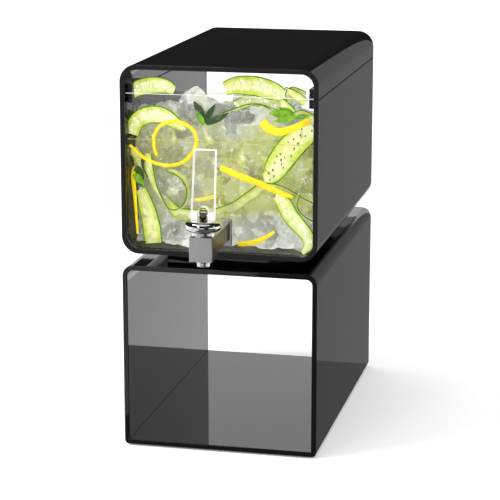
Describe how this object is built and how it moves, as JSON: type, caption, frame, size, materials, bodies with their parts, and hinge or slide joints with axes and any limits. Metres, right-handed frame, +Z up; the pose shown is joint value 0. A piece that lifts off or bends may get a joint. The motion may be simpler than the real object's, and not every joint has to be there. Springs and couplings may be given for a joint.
{
  "type": "drinks dispenser",
  "caption": "Countertop box drinks dispenser: a black tank with clear end windows, a lift-off lid and a lever tap, standing on an open riser base.",
  "frame": {"origin": "on the counter, under the middle of the outer box", "axes": "+X across the dispenser to its right as seen from the tap side, -Y out of the tap side, +Z up"},
  "size_m": [0.21, 0.4322, 0.4135],
  "materials": {
    "black_acrylic": "polished black acrylic sheet",
    "clear_acrylic": "polished clear acrylic",
    "brushed_steel": "fine vertical brush",
    "chrome": "bright",
    "black_silicone": "matt",
    "clear_silicone": "satin",
    "spring_steel": "drawn wire"
  },
  "bodies": {
    "base": {"foot_front_left": "clear_silicone", "foot_front_right": "clear_silicone", "foot_rear_left": "clear_silicone", "foot_rear_right": "clear_silicone", "base_plate": "black_acrylic", "base_shell": "black_acrylic"},
    "tank": {"tank_shell": "black_acrylic", "tank_front_window": "clear_acrylic", "tank_rear_window": "clear_acrylic", "tank_plinth": "black_acrylic", "plinth_pad_front_left": "clear_silicone", "plinth_pad_rear_left": "clear_silicone", "plinth_pad_front_right": "clear_silicone", "plinth_pad_rear_right": "clear_silicone", "tap_body": "brushed_steel", "tap_flange": "brushed_steel", "flange_washer": "clear_silicone", "inner_seal": "clear_silicone", "shank_washer": "chrome", "tap_shank": "chrome", "shank_nut": "chrome", "tap_nozzle": "chrome", "tap_collar": "chrome", "bonnet_gasket": "black_silicone", "tap_bonnet": "chrome", "valve_spring": "spring_steel"},
    "lid": {"lid_shell": "black_acrylic", "lid_front_window": "clear_acrylic", "lid_rear_window": "clear_acrylic", "lid_tab_front_left": "black_acrylic", "lid_tab_front_right": "black_acrylic", "lid_tab_rear_left": "black_acrylic", "lid_tab_rear_right": "black_acrylic"},
    "stem": {"valve_stem": "chrome", "seat_cup": "black_silicone"},
    "lever": {"tap_lever": "clear_acrylic", "lever_pin": "chrome"}
  },
  "joints": [
    {"name": "tank_lift", "type": "slide", "parent": "base", "child": "tank", "axis": [0, 0, 1], "range_m": [0, 0.1]},
    {"name": "lid_lift", "type": "slide", "parent": "tank", "child": "lid", "axis": [0, 0, 1], "range_m": [0, 0.08]},
    {"name": "stem_lift", "type": "slide", "parent": "tank", "child": "stem", "axis": [0, 0, 1], "range_m": [0, 0.00157], "stiffness_N_per_m": 800, "springref_m": -0.004, "deforming": ["valve_spring"]},
    {"name": "lever_tilt", "type": "hinge", "parent": "stem", "child": "lever", "pos_m": [0, -0.197, 0.27185], "axis": [1, 0, 0], "range_deg": [0, 30]}
  ],
  "couplings": [
    {"joint": "lever_tilt", "follows": "stem_lift", "rad_per_m": 333.33}
  ]
}
